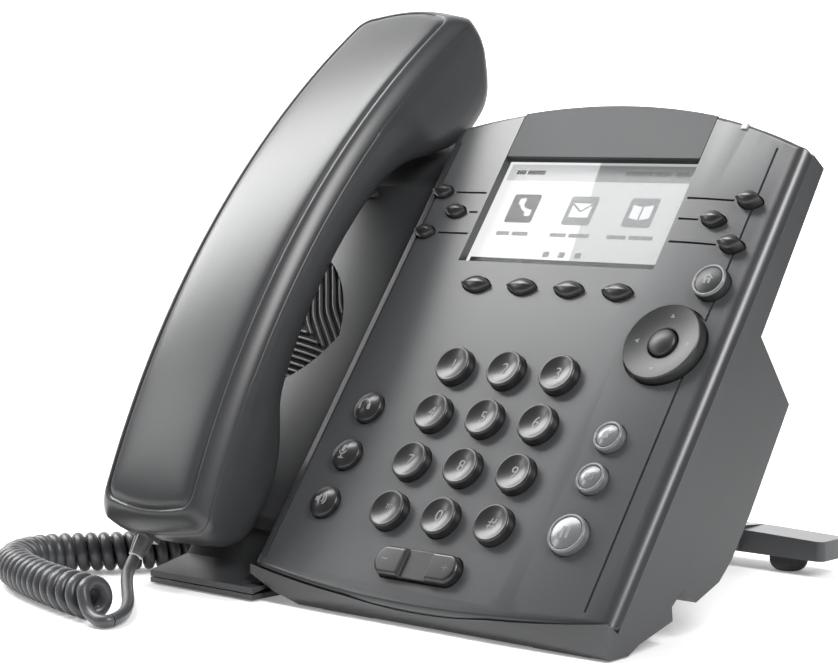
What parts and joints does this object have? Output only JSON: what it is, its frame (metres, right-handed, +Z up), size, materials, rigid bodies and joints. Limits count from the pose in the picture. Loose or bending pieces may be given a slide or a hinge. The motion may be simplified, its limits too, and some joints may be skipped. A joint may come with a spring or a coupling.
{
  "type": "desk telephone",
  "caption": "Desk IP phone: sloping console with display, dial keys and navigation ring, side handset on a curly cord, rear foot stand.",
  "frame": {"origin": "on the desk under the middle of the phone's outline, cord left out", "axes": "+Z up, +X to the user's right, -Y towards the user"},
  "size_m": [0.2158, 0.2124, 0.1793],
  "materials": {
    "shell_dark": "fine satin texture",
    "trim_gloss": "polished",
    "window_clear": "clear",
    "display_panel": "lit panel",
    "handset_shell": "satin",
    "key_black": "polished",
    "key_smoke": "translucent",
    "light_pipe": "translucent",
    "grille_black": "matte",
    "board_green": "solder resist",
    "silicone_grey": "matte",
    "foot_rubber": "matte",
    "screw_steel": "zinc",
    "speaker_paper": "matte",
    "jack_black": "satin",
    "cord_jacket": "satin",
    "plug_clear": "polished"
  },
  "bodies": {
    "console": {"front_cover": "shell_dark", "display_trim": "trim_gloss", "lcd_window": "window_clear", "lcd_module": "display_panel", "rear_cover": "shell_dark", "cradle_cover": "shell_dark", "speaker_grille": "grille_black", "speaker_driver": "speaker_paper", "message_light": "light_pipe", "hook_tab": "shell_dark", "main_board": "board_green", "keypad_mat": "silicone_grey", "audio_jacks": "jack_black", "network_jacks": "jack_black", "stand": "shell_dark", "rubber_feet": "foot_rubber", "housing_screws": "screw_steel", "cord_lead": "cord_jacket", "cord_coil": "cord_jacket", "cord_tail": "cord_jacket", "base_plug": "plug_clear"},
    "handset": {"handset_upper_shell": "handset_shell", "handset_lower_shell": "handset_shell", "receiver_capsule": "speaker_paper", "microphone_capsule": "speaker_paper", "handset_plug": "plug_clear"},
    "hook_switch": {"hook_switch": "key_black"},
    "dial_key_1": {"dial_key_1": "key_black"},
    "dial_key_2": {"dial_key_2": "key_black"},
    "dial_key_3": {"dial_key_3": "key_black"},
    "dial_key_4": {"dial_key_4": "key_black"},
    "dial_key_5": {"dial_key_5": "key_black"},
    "dial_key_6": {"dial_key_6": "key_black"},
    "dial_key_7": {"dial_key_7": "key_black"},
    "dial_key_8": {"dial_key_8": "key_black"},
    "dial_key_9": {"dial_key_9": "key_black"},
    "dial_key_star": {"dial_key_star": "key_black"},
    "dial_key_0": {"dial_key_0": "key_black"},
    "dial_key_hash": {"dial_key_hash": "key_black"},
    "left_key_1": {"left_key_1": "key_black"},
    "left_key_2": {"left_key_2": "key_black"},
    "left_key_3": {"left_key_3": "key_black"},
    "right_key_1": {"right_key_1": "key_smoke"},
    "right_key_2": {"right_key_2": "key_smoke"},
    "right_key_3": {"right_key_3": "key_smoke"},
    "soft_key_1": {"soft_key_1": "key_black"},
    "soft_key_2": {"soft_key_2": "key_black"},
    "soft_key_3": {"soft_key_3": "key_black"},
    "soft_key_4": {"soft_key_4": "key_black"},
    "line_key_left_1": {"line_key_left_1": "key_black"},
    "line_key_left_2": {"line_key_left_2": "key_black"},
    "line_key_left_3": {"line_key_left_3": "key_black"},
    "line_key_right_1": {"line_key_right_1": "key_black"},
    "line_key_right_2": {"line_key_right_2": "key_black"},
    "line_key_right_3": {"line_key_right_3": "key_black"},
    "home_key": {"home_key": "key_black"},
    "select_key": {"select_key": "key_black"},
    "nav_pivot": {"nav_pivot": "speaker_paper"},
    "nav_ring": {"nav_ring": "key_black"},
    "volume_rocker": {"volume_rocker": "key_black"}
  },
  "joints": [
    {"name": "handset_lift", "type": "slide", "parent": "console", "child": "handset", "axis": [0, -0.809, 0.5878], "range_m": [0, 0.08]},
    {"name": "hook_switch_rise", "type": "slide", "parent": "console", "child": "hook_switch", "axis": [0, -0.809, 0.5878], "range_m": [0, 0.0025]},
    {"name": "dial_key_1_press", "type": "slide", "parent": "console", "child": "dial_key_1", "axis": [0, 0.809, -0.5878], "range_m": [0, 0.0012], "stiffness_N_per_m": 400},
    {"name": "dial_key_2_press", "type": "slide", "parent": "console", "child": "dial_key_2", "axis": [0, 0.809, -0.5878], "range_m": [0, 0.0012], "stiffness_N_per_m": 400},
    {"name": "dial_key_3_press", "type": "slide", "parent": "console", "child": "dial_key_3", "axis": [0, 0.809, -0.5878], "range_m": [0, 0.0012], "stiffness_N_per_m": 400},
    {"name": "dial_key_4_press", "type": "slide", "parent": "console", "child": "dial_key_4", "axis": [0, 0.809, -0.5878], "range_m": [0, 0.0012], "stiffness_N_per_m": 400},
    {"name": "dial_key_5_press", "type": "slide", "parent": "console", "child": "dial_key_5", "axis": [0, 0.809, -0.5878], "range_m": [0, 0.0012], "stiffness_N_per_m": 400},
    {"name": "dial_key_6_press", "type": "slide", "parent": "console", "child": "dial_key_6", "axis": [0, 0.809, -0.5878], "range_m": [0, 0.0012], "stiffness_N_per_m": 400},
    {"name": "dial_key_7_press", "type": "slide", "parent": "console", "child": "dial_key_7", "axis": [0, 0.809, -0.5878], "range_m": [0, 0.0012], "stiffness_N_per_m": 400},
    {"name": "dial_key_8_press", "type": "slide", "parent": "console", "child": "dial_key_8", "axis": [0, 0.809, -0.5878], "range_m": [0, 0.0012], "stiffness_N_per_m": 400},
    {"name": "dial_key_9_press", "type": "slide", "parent": "console", "child": "dial_key_9", "axis": [0, 0.809, -0.5878], "range_m": [0, 0.0012], "stiffness_N_per_m": 400},
    {"name": "dial_key_star_press", "type": "slide", "parent": "console", "child": "dial_key_star", "axis": [0, 0.809, -0.5878], "range_m": [0, 0.0012], "stiffness_N_per_m": 400},
    {"name": "dial_key_0_press", "type": "slide", "parent": "console", "child": "dial_key_0", "axis": [0, 0.809, -0.5878], "range_m": [0, 0.0012], "stiffness_N_per_m": 400},
    {"name": "dial_key_hash_press", "type": "slide", "parent": "console", "child": "dial_key_hash", "axis": [0, 0.809, -0.5878], "range_m": [0, 0.0012], "stiffness_N_per_m": 400},
    {"name": "left_key_1_press", "type": "slide", "parent": "console", "child": "left_key_1", "axis": [0, 0.809, -0.5878], "range_m": [0, 0.0012], "stiffness_N_per_m": 400},
    {"name": "left_key_2_press", "type": "slide", "parent": "console", "child": "left_key_2", "axis": [0, 0.809, -0.5878], "range_m": [0, 0.0012], "stiffness_N_per_m": 400},
    {"name": "left_key_3_press", "type": "slide", "parent": "console", "child": "left_key_3", "axis": [0, 0.809, -0.5878], "range_m": [0, 0.0012], "stiffness_N_per_m": 400},
    {"name": "right_key_1_press", "type": "slide", "parent": "console", "child": "right_key_1", "axis": [0, 0.809, -0.5878], "range_m": [0, 0.0012], "stiffness_N_per_m": 400},
    {"name": "right_key_2_press", "type": "slide", "parent": "console", "child": "right_key_2", "axis": [0, 0.809, -0.5878], "range_m": [0, 0.0012], "stiffness_N_per_m": 400},
    {"name": "right_key_3_press", "type": "slide", "parent": "console", "child": "right_key_3", "axis": [0, 0.809, -0.5878], "range_m": [0, 0.0012], "stiffness_N_per_m": 400},
    {"name": "soft_key_1_press", "type": "slide", "parent": "console", "child": "soft_key_1", "axis": [0, 0.809, -0.5878], "range_m": [0, 0.0012], "stiffness_N_per_m": 400},
    {"name": "soft_key_2_press", "type": "slide", "parent": "console", "child": "soft_key_2", "axis": [0, 0.809, -0.5878], "range_m": [0, 0.0012], "stiffness_N_per_m": 400},
    {"name": "soft_key_3_press", "type": "slide", "parent": "console", "child": "soft_key_3", "axis": [0, 0.809, -0.5878], "range_m": [0, 0.0012], "stiffness_N_per_m": 400},
    {"name": "soft_key_4_press", "type": "slide", "parent": "console", "child": "soft_key_4", "axis": [0, 0.809, -0.5878], "range_m": [0, 0.0012], "stiffness_N_per_m": 400},
    {"name": "line_key_left_1_press", "type": "slide", "parent": "console", "child": "line_key_left_1", "axis": [0, 0.809, -0.5878], "range_m": [0, 0.0012], "stiffness_N_per_m": 400},
    {"name": "line_key_left_2_press", "type": "slide", "parent": "console", "child": "line_key_left_2", "axis": [0, 0.809, -0.5878], "range_m": [0, 0.0012], "stiffness_N_per_m": 400},
    {"name": "line_key_left_3_press", "type": "slide", "parent": "console", "child": "line_key_left_3", "axis": [0, 0.809, -0.5878], "range_m": [0, 0.0012], "stiffness_N_per_m": 400},
    {"name": "line_key_right_1_press", "type": "slide", "parent": "console", "child": "line_key_right_1", "axis": [0, 0.809, -0.5878], "range_m": [0, 0.0012], "stiffness_N_per_m": 400},
    {"name": "line_key_right_2_press", "type": "slide", "parent": "console", "child": "line_key_right_2", "axis": [0, 0.809, -0.5878], "range_m": [0, 0.0012], "stiffness_N_per_m": 400},
    {"name": "line_key_right_3_press", "type": "slide", "parent": "console", "child": "line_key_right_3", "axis": [0, 0.809, -0.5878], "range_m": [0, 0.0012], "stiffness_N_per_m": 400},
    {"name": "home_key_press", "type": "slide", "parent": "console", "child": "home_key", "axis": [0, 0.809, -0.5878], "range_m": [0, 0.0012], "stiffness_N_per_m": 400},
    {"name": "select_key_press", "type": "slide", "parent": "console", "child": "select_key", "axis": [0, 0.809, -0.5878], "range_m": [0, 0.001], "stiffness_N_per_m": 400},
    {"name": "nav_pivot_tilt", "type": "hinge", "parent": "console", "child": "nav_pivot", "pos_m": [0.0739, -0.01384, 0.07535], "axis": [1, 0, 0], "range_deg": [-3, 3], "stiffness_Nm_per_rad": 0.05},
    {"name": "nav_ring_tilt", "type": "hinge", "parent": "nav_pivot", "child": "nav_ring", "pos_m": [0.0739, -0.01384, 0.07535], "axis": [0, 0.5878, 0.809], "range_deg": [-3, 3], "stiffness_Nm_per_rad": 0.05},
    {"name": "volume_rocker_tilt", "type": "hinge", "parent": "console", "child": "volume_rocker", "pos_m": [0.024, -0.06324, 0.01569], "axis": [0, 0.5878, 0.809], "range_deg": [-3.5, 3.5], "stiffness_Nm_per_rad": 0.05}
  ],
  "couplings": [
    {"joint": "hook_switch_rise", "follows": "handset_lift", "ratio": 0.03125}
  ]
}
